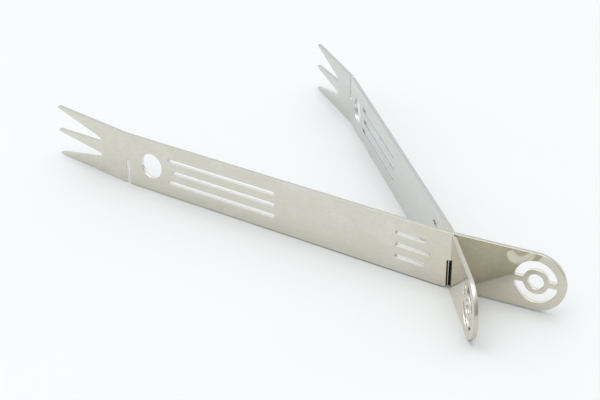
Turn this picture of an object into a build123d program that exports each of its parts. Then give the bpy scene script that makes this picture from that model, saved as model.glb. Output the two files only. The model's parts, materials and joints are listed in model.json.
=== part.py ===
"""Cook's tongs made of two identical flat steel blades.

Each blade is a strip of sheet with three prongs at one end and a round handle with a ring cut
through it at the other.  Two half-depth slots let one blade slide down over the other, so that
they cross like scissors and pivot about the upright line where they cross.

Frame: the crossing line is Z, the jaws point along +Y and the table is the plane Z = 0.
"""
from build123d import *
from math import asin, cos, radians, sin
import os

os.makedirs("parts", exist_ok=True)

# ---- driving dimensions, in mm and degrees --------------------------------------------------
sheet = 1.5                 # thickness of the steel
width = 20.4                # height of a blade as it stands on edge
jaw_angle = 43.0            # between the two blades, as stored

# Lengths are measured along the sheet from the crossing line.
prong_end = 180.0           # tips of the prongs
prong_bend_at = 140.0       # where the prongs are bent inwards, at the slit
handle_bend_at = 4.3        # where the sheet is bent between the crossing slot and the louvres
handle_end = 39.6           # end of the handle
prong_bend = 7.3
handle_bend = 6.5           # both bends turn the same way, so that the blade is hollow
bend_radius = 4.0           # at mid thickness
edge_round = 0.15           # broken edges all round the sheet

crossing_width, crossing_depth, crossing_corner = 3.0, 10.1, 0.5
slit_width, slit_depth = 1.7, 9.9
seat_gap = 0.3              # between the floors of the two crossing slots

notch_root = 155.0          # bottoms of the two V notches between the prongs
notch_middle = 3.2          # their height off the blade's middle
notch_floor, notch_corner = 1.6, 0.75
centre_tip, outer_tip = 1.0, 0.7     # widths of the prong tips
tip_round = 0.3

hole_at, hole_radius = 128.2, 4.9

louvre_pitch, louvre_width = 4.4, 1.5
long_louvre_start, long_louvre_end, middle_louvre_end = 71.4, 120.1, 118.2
short_louvre_start, middle_louvre_start, short_louvre_end = 9.4, 7.8, 21.2

ring_hole, ring_inner, ring_outer = 2.7, 4.35, 7.45   # radii
ring_bridge = 2.0           # webs that hold the inner ring, in line with the blade
ring_corner = 0.5

# ---- worked out -----------------------------------------------------------------------------
half = width / 2
ring_at = half - handle_end


def stretch_after(before, bend_at, turn):
    """Mid-thickness plane of the flat stretch that follows a bend, its y up.

    Its x runs towards the prongs and, like that of the stretch before, counts from the crossing.
    """
    along = Vector(cos(radians(turn)), sin(radians(turn)), 0)
    origin = before.from_local_coords((bend_at, 0)) - along * bend_at
    return Plane(origin=origin, x_dir=along, z_dir=along.cross(Vector(0, 0, 1)))


handle_plane = Plane.XZ
blade_plane = stretch_after(handle_plane, handle_bend_at, -handle_bend)
prong_plane = stretch_after(blade_plane, prong_bend_at, -handle_bend - prong_bend)


def louvre(start, end, height):
    """One round-ended slot along the blade."""
    with Locations(((start + end) / 2, height)):
        SlotOverall(end - start, louvre_width)


def ring_window():
    """The half of the ring-shaped window that lies above the two webs."""
    with BuildSketch(mode=Mode.PRIVATE) as window:
        Circle(ring_outer)
        Circle(ring_inner, mode=Mode.SUBTRACT)
        Rectangle(width, ring_bridge, mode=Mode.SUBTRACT)
        split(bisect_by=Plane.XZ, keep=Keep.BOTTOM)
        fillet(window.vertices(), ring_corner)
    return window.sketch


def is_side(face):
    """True for the flat and bent faces of the sheet, false for the walls of its cut-outs."""
    if face.geom_type == GeomType.CYLINDER:
        return abs(face.axis_of_rotation.direction.Z) > 0.99
    planes = (blade_plane, prong_plane, handle_plane)
    return any(abs(face.normal_at().dot(plane.z_dir)) > 0.9999 for plane in planes)


def steel_blade():
    """One blade, its slots opening downwards and its bends turned towards -Y.

    The handle lies along -X, the crossing line is Z and the blade's middle is Z = 0.
    """
    with BuildPart() as blade:
        with BuildSketch(Plane.XY.offset(-half)):
            with BuildLine():
                FilletPolyline(
                    (-handle_end, 0),
                    (handle_bend_at, 0),
                    prong_plane.from_local_coords((prong_bend_at, 0)),
                    prong_plane.from_local_coords((prong_end, 0)),
                    radius=bend_radius,
                )
            trace(line_width=sheet)
        extrude(amount=width)

        # Crossing slot, prong slit, round hole and the two groups of louvres.
        with BuildSketch(handle_plane) as crossing_slot:
            with Locations((0, crossing_depth - half)):
                Rectangle(crossing_width, width, align=(Align.CENTER, Align.MAX))
            fillet(crossing_slot.vertices().group_by(Axis.Y)[-1], crossing_corner)
        extrude(amount=sheet, both=True, mode=Mode.SUBTRACT)
        with BuildSketch(blade_plane):
            with Locations((prong_bend_at, slit_depth - half)):
                SlotOverall(width, slit_width, rotation=90, align=(Align.MAX, Align.CENTER))
            with Locations((hole_at, 0)):
                Circle(hole_radius)
            for row in (-1, 0, 1):
                far_end = middle_louvre_end if row == 0 else long_louvre_end
                near_end = middle_louvre_start if row == 0 else short_louvre_start
                louvre(long_louvre_start, far_end, row * louvre_pitch)
                louvre(near_end, short_louvre_end, row * louvre_pitch)
        extrude(amount=sheet, both=True, mode=Mode.SUBTRACT)

        # Two V notches leave three pointed prongs.
        with BuildSketch(prong_plane):
            for side in (-1, 1):
                with BuildSketch(mode=Mode.PRIVATE) as notch:
                    Polygon(
                        (prong_end, side * (half - outer_tip)),
                        (notch_root, side * (notch_middle + notch_floor / 2)),
                        (notch_root, side * (notch_middle - notch_floor / 2)),
                        (prong_end, side * centre_tip / 2),
                        align=None,
                    )
                    fillet(notch.vertices().group_by(Axis.X)[0], notch_corner)
                add(notch.sketch)
        extrude(amount=sheet, both=True, mode=Mode.SUBTRACT)
        across = blade.edges().filter_by(Axis((0, 0, 0), prong_plane.z_dir))
        fillet(across.group_by(Axis((0, 0, 0), prong_plane.x_dir))[-1], tip_round)

        # Round end of the handle, with the ring cut through it.
        with BuildSketch(handle_plane):
            with Locations((ring_at, 0)):
                Rectangle(2 * width, 2 * width, align=(Align.MAX, Align.CENTER))
                Circle(half, mode=Mode.SUBTRACT)
        extrude(amount=sheet, both=True, mode=Mode.SUBTRACT)
        with BuildSketch(handle_plane):
            with Locations((ring_at, 0)):
                Circle(ring_hole)
                add(ring_window())
                add(ring_window(), rotation=180)
        extrude(amount=sheet, both=True, mode=Mode.SUBTRACT)

        # Break the rims of both sides of the sheet, except where a side runs on round a bend.
        sides = blade.faces().filter_by(is_side)
        rims = [rim for rim in blade.edges() if sum(rim in side.edges() for side in sides) == 1]
        fillet(rims, edge_round)
    return blade.part


blade_shape = steel_blade()

# ---- the two blades as they stand on the table ----------------------------------------------
# The left jaw is slotted from below and rests on the floor of the other blade's slot, so it
# stands a little high at the crossing and slopes down to its prong tips.
left_lift = width - 2 * crossing_depth + seat_gap
left_slope = asin(left_lift / prong_end)
left_bearing = radians(90 + jaw_angle / 2 + handle_bend)
left_along = Vector(
    cos(left_bearing) * cos(left_slope), sin(left_bearing) * cos(left_slope), -sin(left_slope)
)
left_across = Vector(-sin(left_bearing), cos(left_bearing), 0)
left_place = Plane(
    origin=(0, 0, half + left_lift), x_dir=left_along, z_dir=left_along.cross(left_across)
)
with BuildPart() as left_blade:
    with Locations(left_place):
        add(blade_shape)
left_blade.part.label = "left_blade"
export_step(left_blade.part, "parts/left_blade.step")

# The right jaw is the same blade turned over, slotted from above, with its whole edge down.
right_bearing = radians(90 - jaw_angle / 2 - handle_bend)
right_along = Vector(cos(right_bearing), sin(right_bearing), 0)
right_place = Plane(origin=(0, 0, half), x_dir=right_along, z_dir=(0, 0, -1))
with BuildPart() as right_blade:
    with Locations(right_place):
        add(blade_shape)
right_blade.part.label = "right_blade"
export_step(right_blade.part, "parts/right_blade.step")

# ---- figures that the record states, in mm --------------------------------------------------
for label, place in (("left", left_place), ("right", right_place)):
    for feature, plane, middle in (
        ("hanging hole", handle_plane, ring_at),
        ("round hole", blade_plane, hole_at),
    ):
        centre = place.from_local_coords(plane.from_local_coords((middle, 0)))
        axis = place.from_local_coords(plane.from_local_coords((middle, 0, 1))) - centre
        print(label, feature, [round(v, 4) for v in centre], [round(v, 6) for v in axis])
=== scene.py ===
"""Looks of the slot-together tongs: bright rolled stainless sheet on a pale table, in soft daylight.

The row frame has the crossing line as Z, the jaws along +Y and the table at Z = 0.  The blade's own
dimensions are in millimetres, and everything else is in metres.
"""
import json
from math import asin, ceil, cos, dist, hypot, pi, radians, sin, tan

import bmesh
import bpy
from mathutils import Matrix, Vector


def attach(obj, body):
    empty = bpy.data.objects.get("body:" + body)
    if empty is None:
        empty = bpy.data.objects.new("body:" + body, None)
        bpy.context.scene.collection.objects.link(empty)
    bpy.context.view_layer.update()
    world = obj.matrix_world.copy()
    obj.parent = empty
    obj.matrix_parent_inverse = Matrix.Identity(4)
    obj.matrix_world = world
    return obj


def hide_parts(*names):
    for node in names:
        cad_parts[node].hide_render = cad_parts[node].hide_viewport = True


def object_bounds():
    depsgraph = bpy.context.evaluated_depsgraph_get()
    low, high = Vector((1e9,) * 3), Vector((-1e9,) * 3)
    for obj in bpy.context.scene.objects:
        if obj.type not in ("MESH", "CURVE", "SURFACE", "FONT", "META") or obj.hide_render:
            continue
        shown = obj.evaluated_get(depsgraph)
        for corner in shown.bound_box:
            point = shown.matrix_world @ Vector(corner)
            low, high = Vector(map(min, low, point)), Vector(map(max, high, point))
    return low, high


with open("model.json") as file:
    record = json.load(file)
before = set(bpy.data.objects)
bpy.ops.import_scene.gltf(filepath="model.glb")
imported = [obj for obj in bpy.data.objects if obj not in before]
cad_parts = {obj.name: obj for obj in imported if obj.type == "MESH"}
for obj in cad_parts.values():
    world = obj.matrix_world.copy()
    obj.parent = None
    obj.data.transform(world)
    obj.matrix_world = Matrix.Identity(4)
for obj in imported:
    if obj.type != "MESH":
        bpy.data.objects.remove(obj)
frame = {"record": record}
cad_low, cad_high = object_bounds()
MM = 0.001
TABLE = cad_low.z

# ---- the blade as it is cut from flat sheet, in mm and degrees --------------------------------
# x runs from the crossing line to the prongs and y up the blade, whose middle is y = 0.
SHEET, WIDTH, EDGE_ROUND = 1.5, 20.4, 0.15
HALF = WIDTH / 2
HANDLE_END, PRONG_END = 39.6, 180.0
BEND_RADIUS = 4.0
HANDLE_BEND, HANDLE_BEND_AT = radians(6.5), 4.3
PRONG_BEND, PRONG_BEND_AT = radians(7.3), 140.0
CROSSING_WIDTH, CROSSING_DEPTH, CROSSING_CORNER = 3.0, 10.1, 0.5
LEFT_LIFT = 0.5                 # how high the left blade stands at the crossing

SLIT_WIDTH, SLIT_DEPTH = 1.7, 9.9
NOTCH_ROOT, NOTCH_MIDDLE, NOTCH_FLOOR, NOTCH_CORNER = 155.0, 3.2, 1.6, 0.75
CENTRE_TIP, OUTER_TIP, TIP_ROUND = 1.0, 0.7, 0.3
HOLE_AT, HOLE_RADIUS = 128.2, 4.9
LOUVRE_PITCH, LOUVRE_WIDTH = 4.4, 1.5
LONG_LOUVRE_START, LONG_LOUVRE_END, MIDDLE_LOUVRE_END = 71.4, 120.1, 118.2
SHORT_LOUVRE_START, MIDDLE_LOUVRE_START, SHORT_LOUVRE_END = 9.4, 7.8, 21.2
RING_AT = HALF - HANDLE_END
RING_HOLE, RING_INNER, RING_OUTER = 2.7, 4.35, 7.45
RING_BRIDGE, RING_CORNER = 2.0, 0.5

ARC_CHORD = 0.25                # longest straight step along a round stretch
SAME_POINT = 0.001              # points closer than this are one point
BEND_STEPS = 6                  # straight steps round each bend
RIM_DEPTH = 0.3                 # walls nearer to the outer edge than this belong to it
SHARP_CORNER = radians(60)      # corners of the outline turn by more than this
PATTERN = "place_on_flat_sheet"  # point attribute: where a point was before bending, in mm


def arc(centre, radius, start, end):
    """Points round a circle from one angle to another, both included."""
    steps = max(4, ceil(abs(end - start) * radius / ARC_CHORD))
    angles = [start + (end - start) * i / steps for i in range(steps + 1)]
    return [(centre[0] + radius * cos(a), centre[1] + radius * sin(a)) for a in angles]


def circle(x, y, radius):
    return arc((x, y), radius, 0, 2 * pi)[:-1]


def rounded(corners):
    """A closed outline through corners (x, y, radius), each rounded by its own radius."""
    points = []
    for i, (x, y, radius) in enumerate(corners):
        here = Vector((x, y))
        if radius == 0:
            points.append((x, y))
            continue
        arrive = (here - Vector(corners[i - 1][:2])).normalized()
        leave = (Vector(corners[(i + 1) % len(corners)][:2]) - here).normalized()
        turn = leave.angle_signed(arrive)
        side = 1 if turn > 0 else -1
        inward = Vector((-arrive.y, arrive.x)) * side
        centre = here - arrive * radius * tan(abs(turn) / 2) + inward * radius
        first = Vector((1, 0)).angle_signed(-inward) * -1
        points += arc(centre, radius, first, first + turn)
    # Where two rounded corners meet, their arcs share a point.
    return [here for i, here in enumerate(points) if dist(here, points[i - 1]) > SAME_POINT]


def louvre(start, end, height):
    low, high, radius = height - LOUVRE_WIDTH / 2, height + LOUVRE_WIDTH / 2, LOUVRE_WIDTH / 2
    corners = ((start, low), (end, low), (end, high), (start, high))
    return rounded([(x, y, radius) for x, y in corners])


def ring_window(side):
    """The half of the ring-shaped window above the webs (side 1) or below them (side -1)."""
    inset = RING_BRIDGE / 2 + RING_CORNER
    outer, inner = RING_OUTER - RING_CORNER, RING_INNER + RING_CORNER
    at_outer, at_inner = asin(inset / outer), asin(inset / inner)
    down = -pi / 2
    points = arc((0, 0), RING_OUTER, at_outer, pi - at_outer)
    points += arc((-outer * cos(at_outer), inset), RING_CORNER, pi - at_outer, pi - down)
    points += arc((-inner * cos(at_inner), inset), RING_CORNER, down, -at_inner)
    points += arc((0, 0), RING_INNER, pi - at_inner, at_inner)
    points += arc((inner * cos(at_inner), inset), RING_CORNER, pi + at_inner, pi - down)
    points += arc((outer * cos(at_outer), inset), RING_CORNER, down, at_outer)
    return [(RING_AT + x, side * y) for x, y in points]


def open_slot(middle, breadth, depth, corner):
    """Corners of a slot that runs up from the lower edge."""
    left, right, top = middle - breadth / 2, middle + breadth / 2, depth - HALF
    return [(left, -HALF, 0), (left, top, corner), (right, top, corner), (right, -HALF, 0)]


def blade_outline():
    corners = [(-HANDLE_END, HALF, HALF), (-HANDLE_END, -HALF, HALF)]
    corners += open_slot(0, CROSSING_WIDTH, CROSSING_DEPTH, CROSSING_CORNER)
    corners += open_slot(PRONG_BEND_AT, SLIT_WIDTH, SLIT_DEPTH, SLIT_WIDTH / 2)
    near, far = NOTCH_MIDDLE - NOTCH_FLOOR / 2, NOTCH_MIDDLE + NOTCH_FLOOR / 2
    lower = [
        (PRONG_END, -HALF, TIP_ROUND), (PRONG_END, OUTER_TIP - HALF, TIP_ROUND),
        (NOTCH_ROOT, -far, NOTCH_CORNER), (NOTCH_ROOT, -near, NOTCH_CORNER),
        (PRONG_END, -CENTRE_TIP / 2, TIP_ROUND),
    ]
    upper = [(x, -y, radius) for x, y, radius in reversed(lower)]
    return rounded(corners + lower + upper)


def cut_outs():
    loops = [circle(HOLE_AT, 0, HOLE_RADIUS), circle(RING_AT, 0, RING_HOLE)]
    loops += [ring_window(1), ring_window(-1)]
    for row in (-1, 0, 1):
        far_end = LONG_LOUVRE_END if row else MIDDLE_LOUVRE_END
        near_end = SHORT_LOUVRE_START if row else MIDDLE_LOUVRE_START
        loops.append(louvre(LONG_LOUVRE_START, far_end, row * LOUVRE_PITCH))
        loops.append(louvre(near_end, SHORT_LOUVRE_END, row * LOUVRE_PITCH))
    return loops


def flat_blade():
    """Fills the outline round its cut-outs, thickens it and breaks its rims."""
    pattern = bpy.data.curves.new("blade_pattern", "CURVE")
    pattern.dimensions, pattern.fill_mode = "2D", "BOTH"
    pattern.extrude = SHEET / 2 - EDGE_ROUND
    pattern.bevel_depth, pattern.bevel_resolution = EDGE_ROUND, 1
    pattern.offset = -EDGE_ROUND
    for loop in [blade_outline()] + cut_outs():
        spline = pattern.splines.new("POLY")
        spline.points.add(len(loop) - 1)
        for point, (x, y) in zip(spline.points, loop):
            point.co = (x, y, 0, 1)
        spline.use_cyclic_u = True
    holder = bpy.data.objects.new("blade_pattern", pattern)
    flat = bmesh.new()
    flat.from_mesh(bpy.data.meshes.new_from_object(holder))
    bpy.data.objects.remove(holder)
    bmesh.ops.remove_doubles(flat, verts=flat.verts, dist=SAME_POINT)
    bmesh.ops.recalc_face_normals(flat, faces=flat.faces)
    return flat


def wall_material(face):
    """Material number: 0 for the sides, then 1, 2 and 3 for the walls in the order of WALLS."""
    if abs(face.normal.z) > 0.9:
        return 0
    centre = face.calc_center_median()
    inside = abs(centre.y) < HALF - RIM_DEPTH
    if centre.x < RING_AT:
        inside = hypot(centre.x - RING_AT, centre.y) < HALF - RIM_DEPTH
    if not inside or centre.x > NOTCH_ROOT - NOTCH_CORNER:
        return 3
    # Material 2, the crossing slot's walls, is painted shade: a dark metal standing in for the unlit
    # gap between the blades.
    return 2 if abs(centre.x) < CROSSING_WIDTH else 1


def fold(x, y, at, angle):
    """Bends a point of the sheet towards -y, y through the sheet, where x passes the bend."""
    start = at - BEND_RADIUS * tan(angle / 2)
    turned = min(max((x - start) / BEND_RADIUS, 0), angle)
    rest = x - start - BEND_RADIUS * turned
    reach = BEND_RADIUS + y
    bent_x = start + reach * sin(turned) + rest * cos(turned)
    return bent_x, reach * cos(turned) - BEND_RADIUS - rest * sin(turned)


def bent_blade():
    """The finished blade: x along it, y through it and z up, its bends turned towards -y."""
    blade = flat_blade()
    for at, angle in ((HANDLE_BEND_AT, HANDLE_BEND), (PRONG_BEND_AT, PRONG_BEND)):
        span = BEND_RADIUS * tan(angle / 2)
        for i in range(-1, BEND_STEPS + 2):
            cut = (at + span * (2 * i / BEND_STEPS - 1), 0, 0)
            everything = blade.verts[:] + blade.edges[:] + blade.faces[:]
            bmesh.ops.bisect_plane(blade, geom=everything, plane_co=cut, plane_no=(1, 0, 0))

    blade.normal_update()
    for face in blade.faces:
        face.smooth = True
        face.material_index = wall_material(face)
    for edge in blade.edges:
        flats = [abs(face.normal.z) > 0.999 for face in edge.link_faces]
        edge.smooth = flats.count(True) != 1 and edge.calc_face_angle() < SHARP_CORNER

    pattern = blade.verts.layers.float_vector.new(PATTERN)
    for vertex in blade.verts:
        x, z, y = vertex.co.x, vertex.co.y, -vertex.co.z
        vertex[pattern] = (x, y, z)
        x, y = fold(x, y, PRONG_BEND_AT, PRONG_BEND)
        x, y = fold(x, y, HANDLE_BEND_AT, HANDLE_BEND)
        vertex.co = (x, y, z)
    mesh = bpy.data.meshes.new("bent_blade")
    blade.to_mesh(mesh)
    blade.free()
    return mesh


# ---- node helpers ---------------------------------------------------------------------------
class Nodes:
    """Adds shader nodes to one node tree, with sockets set or linked by name."""

    def __init__(self, tree):
        self.tree = tree
        tree.nodes.clear()

    def add(self, kind, inputs=None, **settings):
        node = self.tree.nodes.new(kind)
        for name, value in settings.items():
            setattr(node, name, value)
        for key, value in (inputs or {}).items():
            socket = node.inputs[key]
            if isinstance(value, bpy.types.NodeSocket):
                self.tree.links.new(value, socket)
            else:
                socket.default_value = value
        return node

    def math(self, operation, first, second):
        return self.add("ShaderNodeMath", {0: first, 1: second}, operation=operation).outputs[0]

    def stretched(self, vector, scale):
        """Multiplies a vector or a colour by another, part by part."""
        inputs = {0: vector, 1: scale}
        return self.add("ShaderNodeVectorMath", inputs, operation="MULTIPLY").outputs[0]

    def noise(self, vector, scale, detail=2.0, roughness=0.5, distortion=0.0):
        inputs = {"Vector": vector, "Scale": scale, "Detail": detail}
        inputs.update({"Roughness": roughness, "Distortion": distortion})
        return self.add("ShaderNodeTexNoise", inputs).outputs["Fac"]

    def spread(self, value, low, high, to_low=0.0, to_high=1.0):
        """Maps low..high to to_low..to_high, clamped and eased at both ends."""
        inputs = {"Value": value, "From Min": low, "From Max": high}
        inputs.update({"To Min": to_low, "To Max": to_high})
        node = self.add("ShaderNodeMapRange", inputs, interpolation_type="SMOOTHSTEP")
        return node.outputs["Result"]

    def mix(self, factor, first, second):
        node = self.add("ShaderNodeMix", data_type="RGBA")
        for socket, value in ((0, factor), (6, first), (7, second)):
            if isinstance(value, bpy.types.NodeSocket):
                self.tree.links.new(value, node.inputs[socket])
            else:
                node.inputs[socket].default_value = value
        return node.outputs[2]

    def bump(self, height, distance, strength=1.0, normal=None):
        inputs = {"Height": height, "Distance": distance, "Strength": strength}
        if normal is not None:
            inputs["Normal"] = normal
        return self.add("ShaderNodeBump", inputs).outputs["Normal"]


def new_material(name):
    material = bpy.data.materials.new(name)
    material.use_nodes = True
    return material, Nodes(material.node_tree)


def place_on_sheet(n, shift):
    """The flat sheet's own axes in mm, moved along so that no two blades are marked alike."""
    place = n.add("ShaderNodeAttribute", attribute_name=PATTERN).outputs["Vector"]
    return n.add("ShaderNodeVectorMath", {0: place, 1: (shift, 0, 0)}, operation="ADD").outputs[0]


# ---- stainless sheet ------------------------------------------------------------------------
# The real blades are one steel.  The tints only bring the tones nearer to the photograph's.
# The tints are painted reflection: warmer and slightly dimmer on the handles, cooler on the right
# jaw, standing in for the light each face reflects.
TINT_START, TINT_END = 3, 20    # mm from the crossing, where the handle's tint gives way
HANDLE_REFLECTION_TINT = (0.98, 0.96, 0.92, 1)
JAW_REFLECTION_TINTS = {"left": (1.0, 1.0, 1.0, 1), "right": (0.92, 0.96, 1.03, 1)}


def reflection_tinted(n, place, shift, colour, jaw_reflection_tint):
    """The colour with the handle's painted reflection tint, changing gradually to the jaw's painted
    reflection tint.
    """
    along = n.add("ShaderNodeSeparateXYZ", {0: place}).outputs["X"]
    on_jaw = n.spread(along, shift + TINT_START, shift + TINT_END)
    tint = n.mix(on_jaw, HANDLE_REFLECTION_TINT, jaw_reflection_tint)
    return n.stretched(colour, tint)


def stainless(name, shift, jaw_reflection_tint):
    """Bright rolled sheet: rolling lines along it, a little wave, finger marks and short scuffs."""
    material, n = new_material(name)
    place = place_on_sheet(n, shift)
    lines = n.noise(n.stretched(place, (0.025, 0.4, 5.2)), 1.0, 3.0, 0.6)
    waves = n.noise(place, 0.038, 1.0, 0.4)
    smears = n.noise(n.stretched(place, (0.07, 0.07, 0.11)), 1.0, 5.0, 0.62, 0.8)
    smears = n.spread(smears, 0.46, 0.72)
    scuffs = n.noise(n.stretched(place, (0.26, 0.9, 2.6)), 1.0, 2.0, 0.7, 1.5)
    scuffs = n.spread(scuffs, 0.66, 0.74)

    rough = n.math("ADD", n.spread(lines, 0.3, 0.7, 0.05, 0.08), n.math("MULTIPLY", smears, 0.05))
    rough = n.math("ADD", rough, n.math("MULTIPLY", scuffs, 0.12))
    colour = n.mix(smears, (0.69, 0.67, 0.59, 1), (0.73, 0.71, 0.645, 1))
    speckle = n.noise(n.stretched(place, (0.5, 0.9, 1.6)), 1.0, 3.0, 0.7)
    speckle = n.spread(speckle, 0.35, 0.65)
    colour = n.mix(n.math("MULTIPLY", speckle, 0.28), colour, (0.57, 0.555, 0.495, 1))
    # Painted reflection tint: the handles warmer and dimmer, the right jaw cooler.
    colour = reflection_tinted(n, place, shift, colour, jaw_reflection_tint)
    normal = n.bump(waves, 0.05 * MM, 0.5)
    normal = n.bump(lines, 0.0006 * MM, 0.5, normal)
    shader = n.add(
        "ShaderNodeBsdfPrincipled",
        {"Base Color": colour, "Metallic": 1.0, "Roughness": rough, "Normal": normal},
    )
    n.add("ShaderNodeOutputMaterial", {"Surface": shader.outputs[0]})
    return material


def cut_wall(name, shift, jaw_reflection_tint, dull, bright, rough):
    """Laser-cut walls, with fine marks that run through the sheet. The crossing slot's dark colours
    are painted shade.
    """
    material, n = new_material(name)
    place = place_on_sheet(n, shift)
    marks = n.noise(n.stretched(place, (9, 0.3, 9)), 1.0, 2.0, 0.6)
    colour = n.mix(n.spread(marks, 0.3, 0.7), dull, bright)
    shader = n.add(
        "ShaderNodeBsdfPrincipled",
        {
            "Base Color": reflection_tinted(n, place, shift, colour, jaw_reflection_tint),
            "Metallic": 1.0,
            "Roughness": n.spread(marks, 0.3, 0.7, rough, rough + 0.1),
            "Normal": n.bump(marks, 0.004 * MM, 0.5),
        },
    )
    n.add("ShaderNodeOutputMaterial", {"Surface": shader.outputs[0]})
    return material


# ---- the two blades -------------------------------------------------------------------------
# Name, two colours and roughness of each kind of wall, in the order of their material numbers.
WALLS = (
    ("cut", (0.74, 0.73, 0.68, 1), (0.84, 0.83, 0.80, 1), 0.12),
    # The crossing slot's walls are painted shade: a dark metal that stands in for the unlit gap
    # between the blades, not a colour of the steel.
    ("crossing", (0.10, 0.095, 0.085, 1), (0.17, 0.16, 0.145, 1), 0.4),
    ("edge", (0.58, 0.57, 0.51, 1), (0.65, 0.64, 0.58, 1), 0.15),
)
mounts = {mount["name"]: Vector(mount["pos_m"]) for mount in frame["record"]["mounts"]}


def place_blade(side, lift, turned_over, shift):
    """Stands a blade on edge at the crossing, its handle running out to its hanging hole."""
    crossing = Vector((0, 0, TABLE + (HALF + lift) * MM))
    along = (crossing - mounts[side + "_hanging_hole"]).normalized()
    through = Vector((along.y, -along.x, 0)) if turned_over else Vector((-along.y, along.x, 0))
    through.normalize()
    up = along.cross(through)
    turn = Matrix((along, through, up)).transposed().to_4x4()
    mesh = bent_blade()
    mesh.transform(Matrix.Translation(crossing) @ turn @ Matrix.Scale(MM, 4))
    # This jaw's painted reflection tint, used on all its materials.
    tint = JAW_REFLECTION_TINTS[side]
    mesh.materials.append(stainless(side + "_stainless", shift, tint))
    for wall, dull, bright, rough in WALLS:
        mesh.materials.append(cut_wall(f"{side}_{wall}_wall", shift, tint, dull, bright, rough))
    blade = bpy.data.objects.new(side + "_fork_blade", mesh)
    bpy.context.scene.collection.objects.link(blade)
    flat_faces = blade.modifiers.new("flat_faces", "WEIGHTED_NORMAL")
    flat_faces.keep_sharp = True
    flat_faces.weight = 100
    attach(blade, side)
    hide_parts(side + "_blade")


PATTERN_SHIFT = 370.0           # mm along the sheet, so that the blades are not marked alike
place_blade("left", LEFT_LIFT, False, 0.0)
place_blade("right", 0.0, True, PATTERN_SHIFT)


# ---- table ----------------------------------------------------------------------------------
def table_material():
    material, n = new_material("table_white")
    where = n.add("ShaderNodeTexCoord").outputs["Object"]
    mottle = n.noise(where, 14.0, 3.0)
    colour = n.mix(mottle, (0.765, 0.775, 0.77, 1), (0.79, 0.80, 0.80, 1))
    grain = n.noise(where, 1800.0, 2.0)
    shader = n.add(
        "ShaderNodeBsdfPrincipled",
        {"Base Color": colour, "Roughness": 0.6, "Normal": n.bump(grain, 0.01 * MM, 0.3)},
    )
    n.add("ShaderNodeOutputMaterial", {"Surface": shader.outputs[0]})
    return material


def make_table(reach=2.5):
    """A flat square table top, with the object at its middle."""
    signs = ((-1, -1), (1, -1), (1, 1), (-1, 1))
    corners = [(reach * x, reach * y, TABLE) for x, y in signs]
    mesh = bpy.data.meshes.new("table_top")
    mesh.from_pydata(corners, [], [(0, 1, 2, 3)])
    table = bpy.data.objects.new("table_top", mesh)
    bpy.context.scene.collection.objects.link(table)
    mesh.materials.append(table_material())


make_table()


# ---- light ----------------------------------------------------------------------------------
CAMERA_BEARING = radians(33.4)  # the camera stands this far round from -Y, clockwise
ELEVATION = radians(26.75)
CEILING_PLACE = (-0.2, 0.1, 1.8)  # right, away and up, in metres
CEILING_SIZE, CEILING_POWER = 1.6, 8.3
CEILING_COLOUR = (1.0, 0.99, 0.97)
ROOM_COLOUR = (0.96, 0.98, 1.0, 1)
DIM_SIDE = (0.64, -0.77)        # right and away


def row_from_view(right, away, up=0.0):
    """Turns a place given as the camera sees the table (right, away, up) into the row frame."""
    c, s = cos(CAMERA_BEARING), sin(CAMERA_BEARING)
    return Vector((right * c + away * s, -right * s + away * c, up))


def area_light(name, place, aim, size, power, colour):
    data = bpy.data.lights.new(name, "AREA")
    data.shape, data.size, data.energy, data.color = "DISK", size, power, colour
    light = bpy.data.objects.new(name, data)
    light.location = place
    light.rotation_euler = (aim - place).to_track_quat("-Z", "Y").to_euler()
    bpy.context.scene.collection.objects.link(light)


middle = (cad_low + cad_high) / 2
ceiling_at = row_from_view(*CEILING_PLACE)
area_light("ceiling", ceiling_at, middle, CEILING_SIZE, CEILING_POWER, CEILING_COLOUR)


def make_world():
    """A pale room, brightest overhead and dimmer low down on the side in front to the right."""
    world = bpy.data.worlds.new("room")
    bpy.context.scene.world = world
    world.use_nodes = True
    n = Nodes(world.node_tree)
    direction = n.add("ShaderNodeTexCoord").outputs["Generated"]
    up = n.add("ShaderNodeSeparateXYZ", {0: direction}).outputs["Z"]
    inputs = {0: direction, 1: row_from_view(*DIM_SIDE)}
    facing = n.add("ShaderNodeVectorMath", inputs, operation="DOT_PRODUCT")
    height = n.spread(up, 0.55, 0.95, 0.96, 1.35)
    side = n.spread(facing.outputs["Value"], 0.2, 0.95, 1.0, 0.5)
    strength = n.math("MULTIPLY", height, side)
    sky = n.add("ShaderNodeBackground", {"Color": ROOM_COLOUR, "Strength": strength})
    n.add("ShaderNodeOutputWorld", {"Surface": sky.outputs[0]})


make_world()


# ---- camera ---------------------------------------------------------------------------------
LENS, SENSOR = 87.57, 36.0      # mm
AIM = (-5.9, 81.85)             # mm, a point on the table
CAMERA_DISTANCE = 543.4 * MM


def make_camera():
    """A short telephoto lens looking down at the table between the blades."""
    data = bpy.data.cameras.new("camera")
    data.lens, data.sensor_width = LENS, SENSOR
    camera = bpy.data.objects.new("camera", data)
    aim = Vector((AIM[0] * MM, AIM[1] * MM, TABLE))
    back = row_from_view(0, -cos(ELEVATION), sin(ELEVATION))
    camera.location = aim + back * CAMERA_DISTANCE
    camera.rotation_euler = (-back).to_track_quat("-Z", "Y").to_euler()
    bpy.context.scene.collection.objects.link(camera)
    bpy.context.scene.camera = camera


make_camera()
bpy.context.scene.view_settings.view_transform = "Standard"
